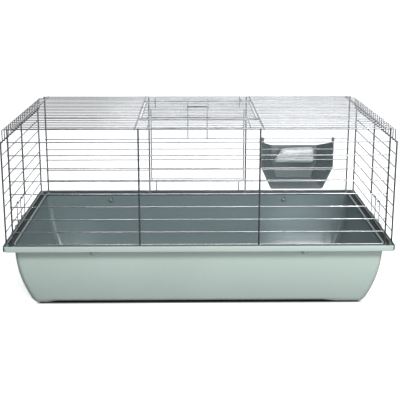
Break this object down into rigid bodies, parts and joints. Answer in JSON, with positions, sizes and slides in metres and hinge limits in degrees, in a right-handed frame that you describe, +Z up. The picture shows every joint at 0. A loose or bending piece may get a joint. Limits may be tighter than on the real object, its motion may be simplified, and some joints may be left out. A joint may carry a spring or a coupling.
{
  "type": "rabbit hutch",
  "caption": "Indoor rabbit cage: a moulded plastic tub under a folding wire top with a roof door, a drop-down side door and a clip-on hay rack.",
  "frame": {"origin": "centre of the tub's flat underside", "axes": "+X along the cage, +Y away from the front towards the door and hay rack side, +Z up"},
  "size_m": [1.0066, 0.618, 0.479],
  "materials": {
    "tub_plastic": "smooth moulded plastic, pale sage grey outside and darker grey inside",
    "zinc_wire": "bright zinc-plated round wire, spot welded",
    "rack_plastic": "moulded plastic, dark grey",
    "bag_film": "folded translucent white plastic film"
  },
  "bodies": {
    "tub": {"tub": "tub_plastic"},
    "wire_top": {"roof_grille_left": "zinc_wire", "roof_grille_right": "zinc_wire", "roof_strip_front": "zinc_wire", "roof_strip_back": "zinc_wire", "roof_hooks_left": "zinc_wire", "roof_hooks_right": "zinc_wire"},
    "front_panel": {"front_grille": "zinc_wire"},
    "back_panel": {"back_grille_left": "zinc_wire", "back_grille_right": "zinc_wire", "back_strip_top": "zinc_wire", "back_strip_bottom": "zinc_wire"},
    "left_end": {"end_grille_left": "zinc_wire"},
    "right_end": {"end_grille_right": "zinc_wire"},
    "left_clip": {"end_clip_left": "zinc_wire"},
    "right_clip": {"end_clip_right": "zinc_wire"},
    "roof_door": {"roof_door": "zinc_wire"},
    "roof_latch": {"roof_door_latch": "zinc_wire"},
    "back_door": {"back_door": "zinc_wire"},
    "back_latch": {"back_door_latch": "zinc_wire"},
    "rack": {"hay_rack": "rack_plastic", "accessory_bag": "bag_film"}
  },
  "joints": [
    {"name": "wire_top_lift", "type": "slide", "parent": "tub", "child": "wire_top", "axis": [0, 0, 1], "range_m": [0, 0.12]},
    {"name": "front_panel_swing", "type": "hinge", "parent": "wire_top", "child": "front_panel", "pos_m": [0, -0.259, 0.4754], "axis": [-1, 0, 0], "range_deg": [0, 90]},
    {"name": "back_panel_swing", "type": "hinge", "parent": "wire_top", "child": "back_panel", "pos_m": [0, 0.259, 0.4754], "axis": [1, 0, 0], "range_deg": [0, 90]},
    {"name": "left_end_swing", "type": "hinge", "parent": "wire_top", "child": "left_end", "pos_m": [-0.49, 0, 0.4422], "axis": [0, 1, 0], "range_deg": [0, 90]},
    {"name": "right_end_swing", "type": "hinge", "parent": "wire_top", "child": "right_end", "pos_m": [0.49, 0, 0.4422], "axis": [0, -1, 0], "range_deg": [0, 90]},
    {"name": "left_clip_swing", "type": "hinge", "parent": "left_end", "child": "left_clip", "pos_m": [-0.49, -0.053, 0.243], "axis": [0, 1, 0], "range_deg": [0, 150]},
    {"name": "right_clip_swing", "type": "hinge", "parent": "right_end", "child": "right_clip", "pos_m": [0.49, -0.053, 0.243], "axis": [0, -1, 0], "range_deg": [0, 150]},
    {"name": "roof_door_swing", "type": "hinge", "parent": "wire_top", "child": "roof_door", "pos_m": [0, -0.112, 0.47295], "axis": [1, 0, 0], "range_deg": [0, 150]},
    {"name": "roof_latch_swing", "type": "hinge", "parent": "roof_door", "child": "roof_latch", "pos_m": [0, 0.075, 0.47295], "axis": [1, 0, 0], "range_deg": [0, 150]},
    {"name": "back_door_swing", "type": "hinge", "parent": "back_panel", "child": "back_door", "pos_m": [0, 0.259, 0.2098], "axis": [-1, 0, 0], "range_deg": [0, 140]},
    {"name": "back_latch_swing", "type": "hinge", "parent": "back_door", "child": "back_latch", "pos_m": [0, 0.259, 0.3441], "axis": [-1, 0, 0], "range_deg": [0, 150]},
    {"name": "rack_lift", "type": "slide", "parent": "back_panel", "child": "rack", "axis": [0, 0, 1], "range_m": [0, 0.024]}
  ]
}
